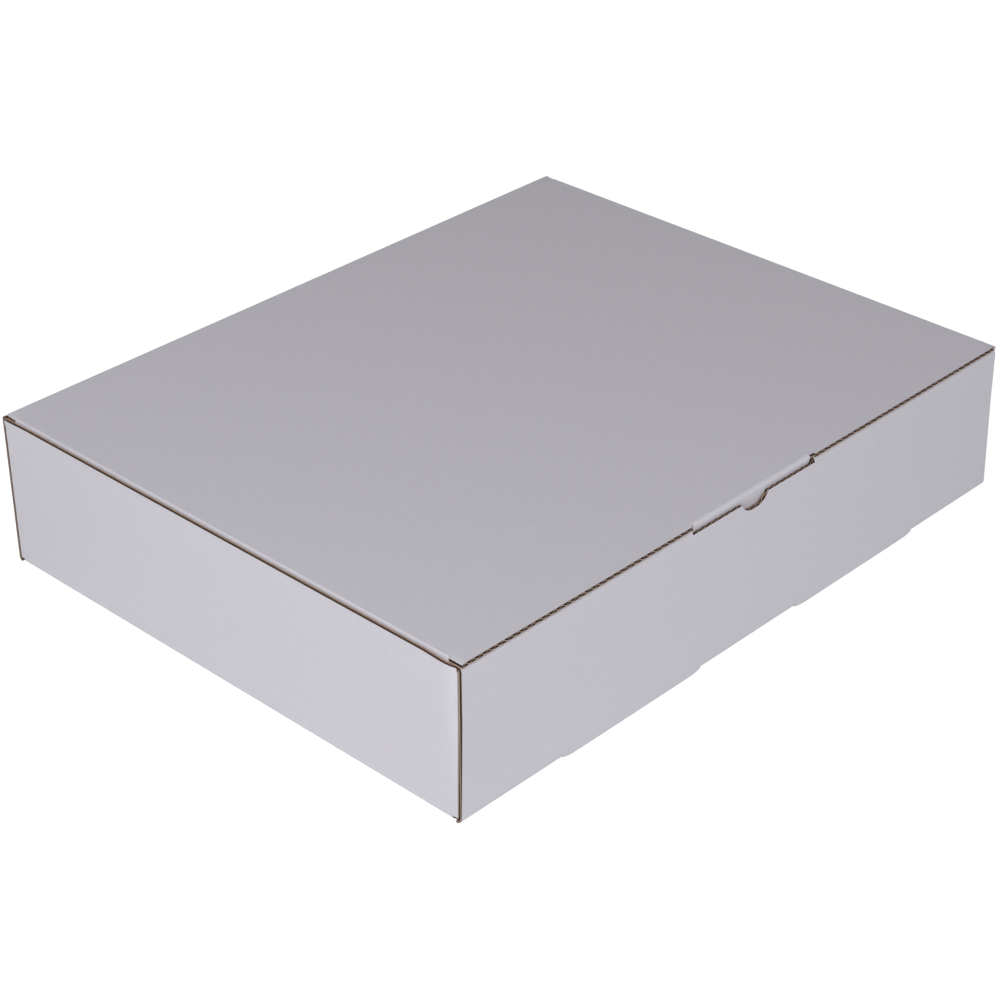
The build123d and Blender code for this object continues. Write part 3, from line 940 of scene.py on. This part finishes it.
span, drop = studio["floorReach"], -studio["floorDrop"]
floorMesh = bpy.data.meshes.new("floor")
floorMesh.from_pydata(
    [(-span, -span, drop), (span, -span, drop), (span, span, drop), (-span, span, drop)], [], [(0, 1, 2, 3)]
)
floor = bpy.data.objects.new("floor", floorMesh)
bpy.context.scene.collection.objects.link(floor)
floorPaint, tree = newMaterial("matt studio floor")
shown = addNode(
    tree, "ShaderNodeMath", {"operation": "MULTIPLY", 1: studio["floorShow"]}, {0: seenDirectly(tree)}
)
matt = addNode(tree, "ShaderNodeBsdfDiffuse", {"Color": paint(studio["floorColour"])})
glow = addNode(tree, "ShaderNodeEmission", {"Color": (1, 1, 1, 1), "Strength": studio["floorGlow"]})
floorLook = mixed(tree, shown.outputs[0], matt, glow)
addNode(tree, "ShaderNodeOutputMaterial", None, {"Surface": floorLook.outputs[0]})
floorMesh.materials.append(floorPaint)

world = bpy.data.worlds.new("studio")
bpy.context.scene.world = world
world.use_nodes = True
tree = world.node_tree
tree.nodes.clear()
room = addNode(tree, "ShaderNodeBackground", {"Color": (1, 1, 1, 1), "Strength": studio["ambient"]})
backdrop = addNode(tree, "ShaderNodeBackground", {"Color": (1, 1, 1, 1), "Strength": 1.0})
roomLook = mixed(tree, seenDirectly(tree), room, backdrop)
addNode(tree, "ShaderNodeOutputWorld", None, {"Surface": roomLook.outputs[0]})

for name, (place, aim, size, power) in softboxes.items():
    lamp = bpy.data.lights.new(name, "AREA")
    lamp.shape = "SQUARE"
    lamp.size = size
    lamp.energy = power
    box = bpy.data.objects.new(name, lamp)
    bpy.context.scene.collection.objects.link(box)
    box.location = place
    back = np.array(place) - np.array(aim)
    box.rotation_euler = (math.acos(back[2] / np.linalg.norm(back)), 0, math.atan2(back[0], -back[1]))
    box.visible_camera = False

# Camera: its place and turn fit twelve straight edges of the box in the photograph
shot = {
    "target": (0.008715, 0.014506, 0.0),
    "distance": 1.021278,
    "azimuth": -45.9364,
    "elevation": 31.2253,
    "roll": -0.5439,
    "focalPixels": 2550.97,
    "framePixels": 1000,
    "sensor": 36.0,
    "clip": (0.05, 50.0),
}
camera = bpy.data.objects.new("camera", bpy.data.cameras.new("camera"))
bpy.context.scene.collection.objects.link(camera)
azimuth, elevation, roll = (math.radians(shot[k]) for k in ("azimuth", "elevation", "roll"))
level = math.cos(elevation)
back = np.array([math.sin(azimuth) * level, -math.cos(azimuth) * level, math.sin(elevation)])
right = np.cross((0, 0, 1), back)
right /= np.linalg.norm(right)
up = np.cross(back, right)
pose = np.eye(4)
pose[:3, 0] = math.cos(roll) * right + math.sin(roll) * up
pose[:3, 1] = math.cos(roll) * up - math.sin(roll) * right
pose[:3, 2] = back
pose[:3, 3] = np.array(shot["target"]) + shot["distance"] * back
camera.matrix_world = Matrix(pose.tolist())
camera.data.sensor_width = shot["sensor"]
camera.data.lens = shot["focalPixels"] / shot["framePixels"] * shot["sensor"]
camera.data.clip_start, camera.data.clip_end = shot["clip"]
bpy.context.scene.camera = camera
bpy.context.scene.view_settings.view_transform = "Standard"
print("stage: floor, light and camera")

bpy.context.view_layer.update()
